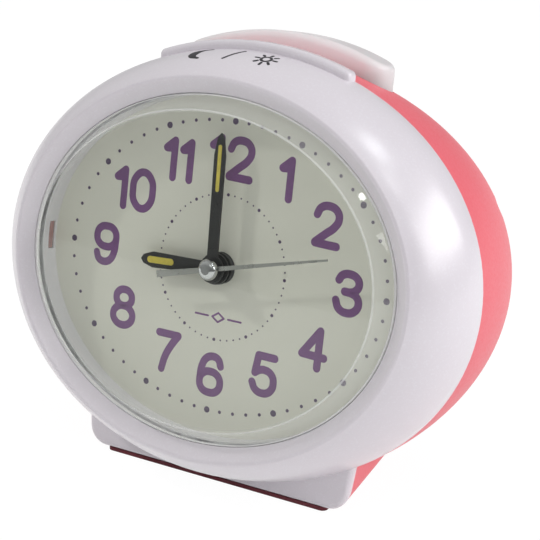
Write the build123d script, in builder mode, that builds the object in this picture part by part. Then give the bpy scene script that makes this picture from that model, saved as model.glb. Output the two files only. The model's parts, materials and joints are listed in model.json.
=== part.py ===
import math
import os

from build123d import *

os.makedirs("parts", exist_ok=True)

# Stance in mm: table at zero height, front towards -Y, dial leaning back
LEAN = 11.7
DIAL_HEIGHT = 55.3
DIAL_SETBACK = -12.8
PAD_THICK = 1.0
PAD_HALF = 33.1
PAD_LEAD = 5.6
PAD_REACH = 31.2

# Oval case: half width A, half height B, distance in front of the dial W
SEAM_A = 65.7
SEAM_B = 53.2
SEAM_W = -7.4
CREST_A = 55.6
CREST_B = 46.3
CREST_W = 10.8
CREST_LAND = 0.7
CREST_ROUND = 0.6
LIP_A = 51.6
LIP_B = 42.3
LIP_W = 8.2
LIP_THICK = 1.6
SEAT_STEP = 1.8
RING_WALL = 1.6
CAVITY_W = 4.4
WALL = 2.2
DOME_REACH = 80.0
BACK_W = -50.0
BACK_ROUND = 6.0
TONGUE = 2.0

# Clearances: between fixed pieces, running, pressed
SLACK = 0.2
RUN = 0.12
FIT = 0.03

# Foot and ridge
FOOT_HALF = 37.6
FOOT_FLARE = 2.6
FOOT_TOP = 20.0
FOOT_ROUND = 5.5
FOOT_LEAD = 2.6
FOOT_TAPER = 7.0
FOOT_EDGE = 1.2
RIDGE_HALF = 27.0
RIDGE_RISE = 2.2
RIDGE_DEPTH = 3.2
RIDGE_ROUND = 1.5

# Lens, dial ring, dial and lamps
LENS_A = 47.5
LENS_B = 38.3
LENS_W = 12.2
LENS_THICK = 1.8
LENS_FLANGE = 1.2
DIAL_A = 51.3
DIAL_B = 42.0
DIAL_THICK = 1.0
LAMP_LONG = 7.0
LAMP_TALL = 2.0
LAMP_DEEP = 6.0
LAMP_W = 1.9
PEG_X = 22.0
PEG_V = 30.5
PEG_R = 1.2

# Hands, as clock angles from twelve at rest, with reach and height over the dial
HOUR_AT = 267.3
MINUTE_AT = 358.4
SECOND_AT = 76.2
HOUR_REACH = 21.8
HOUR_HALF = 2.0
HOUR_HUB = 3.9
HOUR_W = 2.5
MINUTE_REACH = 33.0
MINUTE_HALF = 1.57
MINUTE_HUB = 3.4
MINUTE_W = 4.0
SECOND_REACH = 32.6
SECOND_TAIL = 15.4
SECOND_W = 5.25
ALARM_REACH = 17.0
ALARM_HUB = 4.0
ALARM_W = 1.2
HAND_THICK = 0.5
CAP_R = 2.65
CAP_TALL = 1.75

# Movement
MOVE_HALF = 27.0
MOVE_WALL = 1.4
MOVE_FRONT = -1.05
MOVE_SPLIT = -11.0
MOVE_BACK = -20.4
ROD_R = 0.5
MINUTE_TUBE = 1.3
HOUR_TUBE = 2.05
ALARM_TUBE = 2.8
BUSH_R = 3.75
SHAFT_R = 1.2
WHEEL_THICK = 0.9
ALARM_LAYER = -4.6
HOUR_LAYER = -6.4
MOTION_LAYER = -8.0
CENTRE_LAYER = -9.8
THIRD_LAYER = -11.6
SECONDS_LAYER = -13.2
INTER_LAYER = -14.8
MODULE = 0.48
TRAIN_REACH = 11.5
ROTOR_REACH = 8.0
KNOB_ANGLE = 31.0
KNOB_R = 5.6
KNOB_TALL = 5.0
MAGNET_R = 3.0

# Top button
BUTTON_HALF = 28.7
BUTTON_FRONT = -17.5
BUTTON_BACK = -28.5
BUTTON_RISE = 5.3
BUTTON_CROWN = 65.0
BUTTON_CORNER = 5.0
BUTTON_EDGE = 1.8
BUTTON_GAP = 0.35
BUTTON_SKIRT = 41.5
BUTTON_HOLLOW = 9.0
WELL_FLOOR = 37.0
WELL_WALL = 1.5
BUTTON_SPRING_X = 17.0
STEM_R = 2.4

# Battery box and door
CELL_R = 7.2
CELL_LONG = 49.2
CELL_PITCH = 15.2
NUB_R = 2.75
NUB_LONG = 1.3
CELL_W = -40.5
BOX_HALF = 29.5
BOX_TOP = -0.9
BOX_WALL = 1.6
DOOR_THICK = 1.8
DOOR_LAP = 1.1
DOOR_EDGE = 0.65
DOOR_CORNER = 4.0
DOOR_HEEL = 1.0

# Sound parts
SPEAKER_V = 22.0
SPEAKER_R = 14.2
SPEAKER_DEEP = 9.0
GRILLE_R = 1.15
GRILLE_PITCH = 3.9
BOARD_X = 29.0
BOARD_V = 21.5
BOARD_WIDE = 22.0
BOARD_TALL = 19.0
BOARD_W = -42.0
BOARD_THICK = 1.6
SLIDE_TRAVEL = 4.0

# Case screws
POST_X = 52.0
POST_V = 20.0
POST_R = 4.6
SCREW_R = 1.3
SCREW_HEAD = 2.7
SCREW_SEAT = -14.0
SCREW_TIP = -1.0

lean = math.radians(LEAN)
FACE = Plane(
    origin=(0, DIAL_SETBACK, DIAL_HEIGHT),
    x_dir=(1, 0, 0),
    z_dir=(0, -math.cos(lean), math.sin(lean)),
)
OUTWARD = Axis(FACE.origin, FACE.z_dir)
SEAT_A = LIP_A + SEAT_STEP
SEAT_B = LIP_B + SEAT_STEP
SEAT_W = LIP_W - LIP_THICK
LENS_BACK = SEAT_W - LENS_FLANGE
INSIDE_FRONT = MOVE_FRONT - MOVE_WALL
INSIDE_BACK = MOVE_BACK + MOVE_WALL
ROD_FRONT = INSIDE_FRONT + 0.5
ROD_BACK = INSIDE_BACK - 0.5
BACK_INSIDE = BACK_W + WALL


# Planes: facing out of the dial, looking down on the top, looking along +X
def face_at(w, turn=0):
    across = FACE.x_dir * math.cos(math.radians(turn)) + FACE.y_dir * math.sin(math.radians(turn))
    return Plane(origin=FACE.from_local_coords((0, 0, w)), x_dir=across, z_dir=FACE.z_dir)


def plan_at(v):
    return Plane(origin=FACE.from_local_coords((0, v, 0)), x_dir=(1, 0, 0), z_dir=FACE.y_dir)


def side_at(x):
    return Plane(origin=FACE.from_local_coords((x, 0, 0)), x_dir=FACE.y_dir, z_dir=(1, 0, 0))


def polar(reach, angle):
    return (reach * math.cos(math.radians(angle)), reach * math.sin(math.radians(angle)))


def angle_to(start, end):
    return math.degrees(math.atan2(end[1] - start[1], end[0] - start[0]))


def mirrored(x, v):
    return [(x, v), (-x, v), (x, -v), (-x, -v)]


# Half axes of the oval in front of the seam (a rounded shoulder) and behind it (a dome)
def front_axes(w, inset=0):
    depth = CREST_W - SEAM_W
    axes = []
    for seam, crest in ((SEAM_A, CREST_A), (SEAM_B, CREST_B)):
        radius = ((seam - crest) ** 2 + depth**2) / (2 * (seam - crest))
        axes.append(seam - radius + math.sqrt(radius**2 - (w - SEAM_W) ** 2) - inset)
    return axes


def rear_axes(w, inset=0):
    share = math.sqrt(1 - ((SEAM_W - w) / DOME_REACH) ** 2)
    return SEAM_A * share - inset, SEAM_B * share - inset


def between(low, high, shares):
    return [low + share * (high - low) for share in shares]


def foot_block(inset):
    with BuildPart() as block:
        for y in (DIAL_SETBACK - 25, DIAL_SETBACK + 60):
            half = FOOT_HALF - inset - (y - DIAL_SETBACK) * math.tan(math.radians(FOOT_TAPER))
            with BuildSketch(Plane.XZ.offset(-y)):
                with BuildLine():
                    Polyline(
                        (-half, PAD_THICK + inset),
                        (half, PAD_THICK + inset),
                        (half + FOOT_FLARE, FOOT_TOP),
                        (-half - FOOT_FLARE, FOOT_TOP),
                        close=True,
                    )
                make_face()
                corners = vertices().sort_by(Axis.Y)[:2]
                fillet(corners, FOOT_ROUND - inset)
        loft()
    return block.part


# Gear teeth: straight flanks, narrow enough to run free
def gear_points(teeth, module, phase, spot):
    reach = teeth * module / 2
    points = []
    for tooth in range(teeth):
        for radius, share in ((-1.1, -0.25), (0.8, -0.07), (0.8, 0.07), (-1.1, 0.25)):
            x, v = polar(reach + radius * module, phase + (tooth + share) * 360 / teeth)
            points.append((spot[0] + x, spot[1] + v))
    return points


def meshed(phase, teeth, mate, angle):
    return angle + 180 + 180 / mate - (phase - angle) * teeth / mate


def turned(spot, gears, rods, bore=None):
    with BuildPart() as body:
        for teeth, module, phase, low, high in gears:
            with BuildSketch(face_at(low)):
                with BuildLine():
                    Polyline(*gear_points(teeth, module, phase, spot), close=True)
                make_face()
            extrude(amount=high - low)
        for radius, low, high in rods:
            with BuildSketch(face_at(low)):
                with Locations(spot):
                    Circle(radius)
            extrude(amount=high - low)
        if bore:
            with BuildSketch(face_at(-60)):
                with Locations(spot):
                    Circle(bore)
            extrude(amount=120, mode=Mode.SUBTRACT)
    return body.part


def coil_spring(plane, radius, wire, height, turns):
    path = Helix(pitch=height / turns, height=height, radius=radius).moved(plane.location)
    with BuildPart() as spring:
        with BuildSketch(Plane(origin=path @ 0, z_dir=path % 0)):
            Circle(wire)
        sweep(path=path, is_frenet=True)
    return spring.part


pieces = {}

# Foot pad on the table
with BuildPart() as foot_pad:
    with BuildSketch():
        pad_rear = PAD_HALF - (PAD_LEAD + PAD_REACH) * math.tan(math.radians(FOOT_TAPER))
        with BuildLine():
            Polyline(
                (-PAD_HALF, DIAL_SETBACK - PAD_LEAD),
                (PAD_HALF, DIAL_SETBACK - PAD_LEAD),
                (pad_rear, DIAL_SETBACK + PAD_REACH),
                (-pad_rear, DIAL_SETBACK + PAD_REACH),
                close=True,
            )
        make_face()
        fillet(vertices(), 1.5)
    extrude(amount=PAD_THICK)
pieces["foot_pad"] = foot_pad.part

# Front case: shoulder, foot slice and ridge, then seat, cavity and funnel
with BuildPart() as foot_slice:
    add(foot_block(0))
    split(bisect_by=face_at(SEAM_W), keep=Keep.TOP)
    split(bisect_by=face_at(SEAM_W + FOOT_LEAD), keep=Keep.BOTTOM)
    fillet(faces().sort_by(OUTWARD)[-1].edges(), FOOT_EDGE)

with BuildPart() as ridge:
    with BuildSketch(face_at(SEAM_W)):
        Ellipse(SEAM_A + RIDGE_RISE / 4, SEAM_B + RIDGE_RISE)
        with Locations((0, SEAM_B)):
            Rectangle(2 * RIDGE_HALF, SEAM_B, mode=Mode.INTERSECT)
        Ellipse(SEAM_A - WALL / 2, SEAM_B - WALL / 2, mode=Mode.SUBTRACT)
    extrude(amount=RIDGE_DEPTH)
    ends = edges().filter_by(Axis(FACE.origin, FACE.z_dir)).sort_by(Axis(FACE.origin, FACE.y_dir))
    fillet(ends[-2:], RIDGE_ROUND)
    fillet(faces().sort_by(OUTWARD)[-1].edges(), RIDGE_ROUND * 0.9)

with BuildPart() as front_hollow:
    for w in between(SEAM_W, CAVITY_W, (0, 0.35, 0.7, 1)):
        with BuildSketch(face_at(w)):
            Ellipse(*front_axes(w, WALL))
    loft()
    with BuildSketch(face_at(MOVE_FRONT - 2)):
        Ellipse(SEAT_A + RING_WALL, SEAT_B + RING_WALL)
    extrude(amount=CAVITY_W - MOVE_FRONT + 2, mode=Mode.SUBTRACT)
    with BuildSketch(face_at(SEAM_W)):
        with Locations(*mirrored(POST_X, POST_V)):
            Circle(SCREW_R * 2.2)
    extrude(amount=CAVITY_W - SEAM_W, mode=Mode.SUBTRACT)

with BuildPart() as front_case:
    for w in between(SEAM_W, CREST_W, (0, 0.25, 0.5, 0.75, 1)):
        with BuildSketch(face_at(w)):
            Ellipse(*front_axes(w))
    loft()
    with BuildSketch(face_at(LIP_W)):
        Ellipse(LIP_A, LIP_B)
    with BuildSketch(face_at(CREST_W)):
        Ellipse(CREST_A - CREST_LAND, CREST_B - CREST_LAND)
    loft(ruled=True, mode=Mode.SUBTRACT)
    with BuildSketch(face_at(SEAT_W)):
        Ellipse(LIP_A, LIP_B)
    extrude(amount=LIP_THICK, mode=Mode.SUBTRACT)
    fillet(edges().sort_by(OUTWARD)[-2:], CREST_ROUND)
    add(foot_slice.part)
    add(ridge.part)
    add(front_hollow.part, mode=Mode.SUBTRACT)
    with BuildSketch(face_at(SEAM_W)):
        Ellipse(SEAT_A, SEAT_B)
    extrude(amount=SEAT_W - SEAM_W, mode=Mode.SUBTRACT)
    with BuildSketch(face_at(SEAM_W)):
        with Locations(*mirrored(POST_X, POST_V)):
            Circle(SCREW_R + FIT)
    extrude(amount=SCREW_TIP + 1 - SEAM_W, mode=Mode.SUBTRACT)
    with BuildSketch(plan_at(0)):
        with Locations((0, -LAMP_W)):
            Rectangle(2 * (DIAL_A + LAMP_DEEP + 1), LAMP_TALL + 2 * SLACK)
    extrude(amount=LAMP_LONG / 2 + SLACK, both=True, mode=Mode.SUBTRACT)
    with BuildSketch(face_at(-DIAL_THICK - SLACK / 2)):
        with Locations((SEAT_A, 0), (-SEAT_A, 0)):
            Rectangle(1.6, 8)
        with Locations((0, SEAT_B), (0, -SEAT_B)):
            Rectangle(8, 1.6)
    extrude(amount=-1.4)
pieces["front_case"] = front_case.part

# Lens: flange behind the lip, plug through it, bevel up to the flat front
with BuildPart() as lens:
    with BuildSketch(face_at(LENS_BACK)):
        Ellipse(SEAT_A - SLACK, SEAT_B - SLACK)
    extrude(amount=LENS_FLANGE)
    with BuildSketch(face_at(LENS_BACK)):
        Ellipse(LIP_A - SLACK, LIP_B - SLACK)
    extrude(amount=LIP_W - LENS_BACK)
    with BuildSketch(face_at(LIP_W)):
        Ellipse(LIP_A - SLACK, LIP_B - SLACK)
    with BuildSketch(face_at(LENS_W)):
        Ellipse(LENS_A, LENS_B)
    loft(ruled=True)
    fillet(edges().sort_by(OUTWARD)[-1], 0.5)
    with BuildSketch(face_at(LENS_BACK)):
        Ellipse(DIAL_A - SLACK, DIAL_B - SLACK)
    with BuildSketch(face_at(LENS_W - LENS_THICK)):
        Ellipse(LENS_A - 0.6, LENS_B - 0.6)
    loft(ruled=True, mode=Mode.SUBTRACT)
pieces["lens"] = lens.part

with BuildPart() as dial_ring:
    with BuildSketch(face_at(0)):
        Ellipse(SEAT_A - SLACK, SEAT_B - SLACK)
        Ellipse(DIAL_A, DIAL_B, mode=Mode.SUBTRACT)
    extrude(amount=LENS_BACK)
    with BuildSketch(plan_at(0)):
        with Locations((0, -LAMP_W)):
            Rectangle(2 * (DIAL_A + LAMP_DEEP), LAMP_TALL + SLACK)
    extrude(amount=LAMP_LONG / 2 + SLACK / 2, both=True, mode=Mode.SUBTRACT)
pieces["dial_ring"] = dial_ring.part

with BuildPart() as dial_lamps:
    with BuildSketch(plan_at(0)):
        with Locations((DIAL_A + LAMP_DEEP / 2, -LAMP_W), (-DIAL_A - LAMP_DEEP / 2, -LAMP_W)):
            Rectangle(LAMP_DEEP, LAMP_TALL)
    extrude(amount=LAMP_LONG / 2, both=True)
    fillet(edges().filter_by(Axis(FACE.origin, FACE.y_dir)), 0.5)
pieces["dial_lamps"] = dial_lamps.part

# Dial with four pegs staked over the ears of the movement
with BuildPart() as dial:
    with BuildSketch(face_at(-DIAL_THICK)):
        Ellipse(SEAT_A - SLACK, SEAT_B - SLACK)
        Circle(BUSH_R + SLACK, mode=Mode.SUBTRACT)
    extrude(amount=DIAL_THICK)
    with BuildSketch(face_at(-DIAL_THICK)):
        with Locations(*mirrored(PEG_X, PEG_V)):
            Circle(PEG_R)
    extrude(amount=INSIDE_FRONT - 1)
    with BuildSketch(face_at(INSIDE_FRONT - FIT)):
        with Locations(*mirrored(PEG_X, PEG_V)):
            Circle(PEG_R * 1.7)
    extrude(amount=-0.9)
pieces["dial"] = dial.part


# Hands: outlines drawn upwards, planes turned to the time shown
def hand_shape(w, clock, hub, half, root, reach, bore, slot=None):
    with BuildPart() as hand:
        with BuildSketch(face_at(w, -clock)):
            with BuildLine():
                Polyline(
                    (-root, 0),
                    (-half, reach * 0.84),
                    (-half * 0.55, reach * 0.965),
                    (0, reach),
                    (half * 0.55, reach * 0.965),
                    (half, reach * 0.84),
                    (root, 0),
                    close=True,
                )
            make_face()
            Circle(hub)
            Circle(bore, mode=Mode.SUBTRACT)
            if slot:
                with Locations(Location((0, (slot[0] + slot[1]) / 2), 90)):
                    SlotOverall(slot[1] - slot[0], slot[2], mode=Mode.SUBTRACT)
        extrude(amount=HAND_THICK)
    return hand.part


def hand_lume(w, clock, slot):
    with BuildPart() as lume:
        with BuildSketch(face_at(w, -clock)):
            with Locations(Location((0, (slot[0] + slot[1]) / 2), 90)):
                SlotOverall(slot[1] - slot[0] - 2 * FIT, slot[2] - 2 * FIT)
        extrude(amount=HAND_THICK + 0.06)
    return lume.part


hour_slot = (HOUR_REACH * 0.55, HOUR_REACH * 0.912, HOUR_HALF * 0.85)
minute_slot = (MINUTE_REACH * 0.57, MINUTE_REACH * 0.915, MINUTE_HALF * 0.66)
pieces["alarm_hand"] = hand_shape(ALARM_W, HOUR_AT, ALARM_HUB, 0.7, 0.9, ALARM_REACH, ALARM_TUBE + FIT)
pieces["hour_hand"] = hand_shape(
    HOUR_W, HOUR_AT, HOUR_HUB, HOUR_HALF, HOUR_HALF * 0.72, HOUR_REACH, HOUR_TUBE + FIT, hour_slot
)
pieces["hour_lume"] = hand_lume(HOUR_W, HOUR_AT, hour_slot)
pieces["minute_hand"] = hand_shape(
    MINUTE_W,
    MINUTE_AT,
    MINUTE_HUB,
    MINUTE_HALF,
    MINUTE_HALF * 0.92,
    MINUTE_REACH,
    MINUTE_TUBE + FIT,
    minute_slot,
)
pieces["minute_lume"] = hand_lume(MINUTE_W, MINUTE_AT, minute_slot)

with BuildPart() as second_hand:
    with BuildSketch(face_at(SECOND_W, -SECOND_AT)):
        with BuildLine():
            Polyline(
                (-0.85, -SECOND_TAIL),
                (0.85, -SECOND_TAIL),
                (0.6, 0),
                (0.25, SECOND_REACH),
                (-0.25, SECOND_REACH),
                (-0.6, 0),
                close=True,
            )
        make_face()
        Circle(CAP_R * 0.7)
        Circle(ROD_R + FIT, mode=Mode.SUBTRACT)
    extrude(amount=HAND_THICK * 0.6)
pieces["second_hand"] = second_hand.part

cap_low = SECOND_W + HAND_THICK * 0.6
with BuildPart() as second_cap:
    with BuildSketch(face_at(cap_low)):
        Circle(CAP_R)
    extrude(amount=CAP_TALL)
    fillet(edges().sort_by(OUTWARD)[-1], CAP_TALL * 0.85)
    with BuildSketch(face_at(cap_low)):
        Circle(ROD_R + FIT)
    extrude(amount=0.6, mode=Mode.SUBTRACT)
pieces["second_cap"] = second_cap.part

# Gear train: places of the arbors, then the wheels with their teeth in mesh
CANNON, MOTION, MOTION_PINION, HOUR_TEETH, SET_PINION = 10, 30, 8, 32, 8
ALARM_TEETH, ALARM_SET = 33, 32
THIRD_PINION, CENTRE_TEETH, SECOND_PINION, THIRD_TEETH = 6, 48, 6, 45
SECOND_TEETH, INTER_PINION, INTER_TEETH, ROTOR_PINION = 48, 8, 30, 6
centre = (0, 0)
knob_reach = (ALARM_TEETH + ALARM_SET) * MODULE / 2
motion_reach = (CANNON + MOTION) * MODULE / 2
set_reach = (MOTION + SET_PINION) * MODULE / 2
swing = math.acos((knob_reach**2 + motion_reach**2 - set_reach**2) / (2 * knob_reach * motion_reach))
time_spot = polar(knob_reach, KNOB_ANGLE)
alarm_spot = polar(knob_reach, 180 - KNOB_ANGLE)
motion_spot = polar(motion_reach, KNOB_ANGLE - math.degrees(swing))
third_spot = polar(TRAIN_REACH, 250)
inter_spot = polar(TRAIN_REACH, 110)
rotor_turn = polar(ROTOR_REACH, 60)
rotor_spot = (inter_spot[0] + rotor_turn[0], inter_spot[1] + rotor_turn[1])
third_module = 2 * TRAIN_REACH / (THIRD_TEETH + SECOND_PINION)
centre_module = 2 * TRAIN_REACH / (CENTRE_TEETH + THIRD_PINION)
second_module = 2 * TRAIN_REACH / (SECOND_TEETH + INTER_PINION)
rotor_module = 2 * ROTOR_REACH / (INTER_TEETH + ROTOR_PINION)
motion_phase = meshed(0, CANNON, MOTION, angle_to(centre, motion_spot))
T = WHEEL_THICK

pieces["alarm_wheel"] = turned(
    centre,
    [(ALARM_TEETH, MODULE, 0, ALARM_LAYER, ALARM_LAYER + T)],
    [(ALARM_TUBE, ALARM_LAYER, ALARM_W + HAND_THICK)],
    HOUR_TUBE + RUN,
)
pieces["hour_wheel"] = turned(
    centre,
    [(
        HOUR_TEETH,
        MODULE,
        meshed(0, MOTION_PINION, HOUR_TEETH, angle_to(motion_spot, centre)),
        HOUR_LAYER,
        HOUR_LAYER + T,
    )],
    [(HOUR_TUBE, HOUR_LAYER, HOUR_W + HAND_THICK)],
    MINUTE_TUBE + RUN,
)
pieces["cannon_pinion"] = turned(
    centre,
    [(CANNON, MODULE, 0, MOTION_LAYER - 0.1, MOTION_LAYER + T + 0.1)],
    [
        (MINUTE_TUBE, CENTRE_LAYER - 0.6, MINUTE_W + HAND_THICK + 0.2),
        (MINUTE_TUBE + 0.6, CENTRE_LAYER - 0.6, CENTRE_LAYER - RUN),
    ],
    ROD_R + RUN,
)
pieces["centre_wheel"] = turned(
    centre,
    [(
        CENTRE_TEETH,
        centre_module,
        meshed(0, THIRD_PINION, CENTRE_TEETH, angle_to(third_spot, centre)),
        CENTRE_LAYER,
        CENTRE_LAYER + T,
    )],
    [],
    MINUTE_TUBE + RUN / 2,
)
pieces["motion_wheel"] = turned(
    motion_spot,
    [
        (MOTION, MODULE, motion_phase, MOTION_LAYER, MOTION_LAYER + T),
        (MOTION_PINION, MODULE, 0, MOTION_LAYER, HOUR_LAYER + T + 0.1),
    ],
    [],
    0.7 + RUN,
)
pieces["time_set_shaft"] = turned(
    time_spot,
    [(
        SET_PINION,
        MODULE,
        meshed(motion_phase, MOTION, SET_PINION, angle_to(motion_spot, time_spot)),
        MOTION_LAYER - 0.3,
        MOTION_LAYER + T + 0.3,
    )],
    [(SHAFT_R, BACK_W - KNOB_TALL + 0.6, ROD_FRONT)],
)
pieces["alarm_set_shaft"] = turned(
    alarm_spot,
    [(
        ALARM_SET,
        MODULE,
        meshed(0, ALARM_TEETH, ALARM_SET, angle_to(centre, alarm_spot)),
        ALARM_LAYER,
        ALARM_LAYER + T,
    )],
    [(SHAFT_R, BACK_W - KNOB_TALL + 0.6, ROD_FRONT)],
)
pieces["third_wheel"] = turned(
    third_spot,
    [
        (
            THIRD_TEETH,
            third_module,
            meshed(0, SECOND_PINION, THIRD_TEETH, angle_to(centre, third_spot)),
            THIRD_LAYER,
            THIRD_LAYER + T,
        ),
        (THIRD_PINION, centre_module, 0, THIRD_LAYER, CENTRE_LAYER + T + 0.2),
    ],
    [(ROD_R, ROD_BACK, ROD_FRONT)],
)
pieces["seconds_wheel"] = turned(
    centre,
    [
        (SECOND_TEETH, second_module, 0, SECONDS_LAYER, SECONDS_LAYER + T),
        (SECOND_PINION, third_module, 0, SECONDS_LAYER, THIRD_LAYER + T),
    ],
    [(ROD_R, ROD_BACK, cap_low + 0.4)],
)
pieces["intermediate_wheel"] = turned(
    inter_spot,
    [
        (
            INTER_PINION,
            second_module,
            meshed(0, SECOND_TEETH, INTER_PINION, angle_to(centre, inter_spot)),
            INTER_LAYER,
            SECONDS_LAYER + T + 0.2,
        ),
        (INTER_TEETH, rotor_module, 0, INTER_LAYER, INTER_LAYER + T),
    ],
    [(ROD_R, ROD_BACK, ROD_FRONT)],
)
pieces["rotor"] = turned(
    rotor_spot,
    [(
        ROTOR_PINION,
        rotor_module,
        meshed(0, INTER_TEETH, ROTOR_PINION, angle_to(inter_spot, rotor_spot)),
        INTER_LAYER - 0.8,
        INTER_LAYER + T + 0.2,
    )],
    [(ROD_R, ROD_BACK, ROD_FRONT), (MAGNET_R, INTER_LAYER - 2.8, INTER_LAYER - 0.7)],
)

# Movement housing, motor and circuit
core_w = INTER_LAYER - 1.7
rod_spots = [third_spot, inter_spot, rotor_spot]
with BuildPart() as movement_plate:
    with BuildSketch(face_at(MOVE_SPLIT)):
        RectangleRounded(2 * MOVE_HALF, 2 * MOVE_HALF, 3)
    extrude(amount=MOVE_FRONT - MOVE_SPLIT)
    with BuildSketch(face_at(MOVE_SPLIT)):
        RectangleRounded(2 * (MOVE_HALF - MOVE_WALL), 2 * (MOVE_HALF - MOVE_WALL), 2)
    extrude(amount=INSIDE_FRONT - MOVE_SPLIT, mode=Mode.SUBTRACT)
    with BuildSketch(face_at(INSIDE_FRONT)):
        with Locations((PEG_X, 0), (-PEG_X, 0)):
            RectangleRounded(8, 2 * PEG_V + 7, 2)
    extrude(amount=MOVE_WALL)
    with BuildSketch(face_at(INSIDE_FRONT)):
        with Locations(*mirrored(PEG_X, PEG_V)):
            Circle(PEG_R + SLACK / 2)
    extrude(amount=MOVE_WALL, mode=Mode.SUBTRACT)
    with BuildSketch(face_at(INSIDE_FRONT)):
        Circle(BUSH_R)
    extrude(amount=ALARM_W - INSIDE_FRONT - 0.3)
    with BuildSketch(face_at(INSIDE_FRONT - 1)):
        Circle(ALARM_TUBE + RUN)
    extrude(amount=6, mode=Mode.SUBTRACT)
    with BuildSketch(face_at(INSIDE_FRONT)):
        with Locations(motion_spot):
            Circle(0.7)
    extrude(amount=MOTION_LAYER - INSIDE_FRONT - 0.3)
    with BuildSketch(face_at(INSIDE_FRONT)):
        with Locations(*rod_spots):
            Circle(ROD_R + RUN)
        with Locations(time_spot, alarm_spot):
            Circle(SHAFT_R + RUN)
    extrude(amount=0.7, mode=Mode.SUBTRACT)
    with BuildSketch(face_at(INSIDE_FRONT)):
        with Locations((-MOVE_HALF + 3.5, -2.75)):
            Rectangle(5, 4.5)
    extrude(amount=HOUR_LAYER - 0.25 - INSIDE_FRONT)
pieces["movement_plate"] = movement_plate.part

with BuildPart() as alarm_contact:
    with BuildSketch(face_at(HOUR_LAYER - 0.5)):
        with Locations((-MOVE_HALF / 2 - 2, -2.75)):
            Rectangle(MOVE_HALF * 0.74, 2.4)
    extrude(amount=0.25)
pieces["alarm_contact"] = alarm_contact.part

with BuildPart() as movement_cover:
    with BuildSketch(face_at(MOVE_BACK)):
        RectangleRounded(2 * MOVE_HALF, 2 * MOVE_HALF, 3)
    extrude(amount=MOVE_SPLIT - MOVE_BACK)
    with BuildSketch(face_at(INSIDE_BACK)):
        RectangleRounded(2 * (MOVE_HALF - MOVE_WALL), 2 * (MOVE_HALF - MOVE_WALL), 2)
    extrude(amount=MOVE_SPLIT - INSIDE_BACK, mode=Mode.SUBTRACT)
    with BuildSketch(face_at(INSIDE_BACK)):
        with Locations((rotor_spot[0] + 4.3, 14), (rotor_spot[0] - 3.8, 23.5)):
            Circle(0.9)
        with Locations((18, -20), (-18, -20)):
            Circle(1.2)
    extrude(amount=core_w - 0.5 - INSIDE_BACK)
    with BuildSketch(face_at(INSIDE_BACK)):
        with Locations(centre, *rod_spots):
            Circle(ROD_R + RUN)
    extrude(amount=-0.7, mode=Mode.SUBTRACT)
    with BuildSketch(face_at(MOVE_BACK)):
        with Locations(time_spot, alarm_spot):
            Circle(SHAFT_R + RUN)
    extrude(amount=MOVE_WALL, mode=Mode.SUBTRACT)
pieces["movement_cover"] = movement_cover.part

coil_x = rotor_spot[0] + 14.4
coil_v = rotor_spot[1] + 1.4
with BuildPart() as stator:
    with BuildSketch(face_at(core_w - 0.5)):
        with Locations((rotor_spot[0] + 9.2, coil_v)):
            Rectangle(28.4, 11.6)
        with Locations((coil_x, coil_v)):
            Rectangle(13.6, 8.6, mode=Mode.SUBTRACT)
            Rectangle(13.6, 2.0)
        with Locations(rotor_spot):
            Circle(MAGNET_R + 0.5, mode=Mode.SUBTRACT)
    extrude(amount=1.0)
pieces["stator"] = stator.part

with BuildPart() as coil_bobbin:
    for x, length, side in ((coil_x - 6.4, 0.8, 4.4), (coil_x - 6.4, 12.8, 3.0), (coil_x + 5.6, 0.8, 4.4)):
        with BuildSketch(side_at(x)):
            with Locations((coil_v, core_w)):
                Rectangle(side, side)
        extrude(amount=length)
    with BuildSketch(side_at(coil_x - 7)):
        with Locations((coil_v, core_w)):
            Rectangle(2.0 + 2 * FIT, 1.0 + 2 * FIT)
    extrude(amount=14, mode=Mode.SUBTRACT)
pieces["coil_bobbin"] = coil_bobbin.part

with BuildPart() as coil_winding:
    with BuildSketch(side_at(coil_x - 5.5)):
        with Locations((coil_v, core_w)):
            RectangleRounded(4.2, 4.2, 1)
            Rectangle(3.0 + 2 * FIT, 3.0 + 2 * FIT, mode=Mode.SUBTRACT)
    extrude(amount=11)
pieces["coil_winding"] = coil_winding.part

with BuildPart() as movement_board:
    with BuildSketch(face_at(core_w - 0.5)):
        with Locations((0, -19.5)):
            Rectangle(44, 10)
    extrude(amount=1.0)
pieces["movement_board"] = movement_board.part

with BuildPart() as crystal_can:
    with BuildSketch(side_at(6)):
        with Locations((-20, core_w + 0.5 + 1.5)):
            Circle(1.5)
    extrude(amount=8)
pieces["crystal_can"] = crystal_can.part

# Rear case: outer form, hollow, fittings inside it, then all openings
with BuildPart() as rear_foot:
    add(foot_block(0))
    split(bisect_by=face_at(SEAM_W), keep=Keep.BOTTOM)
    split(bisect_by=face_at(BACK_W + BACK_ROUND / 2), keep=Keep.TOP)
    fillet(faces().sort_by(OUTWARD)[0].edges(), BACK_ROUND / 2)

with BuildPart() as rear_skin:
    for w in between(SEAM_W, BACK_W, (0, 0.25, 0.5, 0.75, 1)):
        with BuildSketch(face_at(w)):
            Ellipse(*rear_axes(w))
    loft()
    fillet(faces().sort_by(OUTWARD)[0].edges(), BACK_ROUND)
    add(rear_foot.part)
    with Locations((0, 0, PAD_THICK)):
        Box(400, 400, 60, align=(Align.CENTER, Align.CENTER, Align.MAX), mode=Mode.SUBTRACT)

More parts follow.
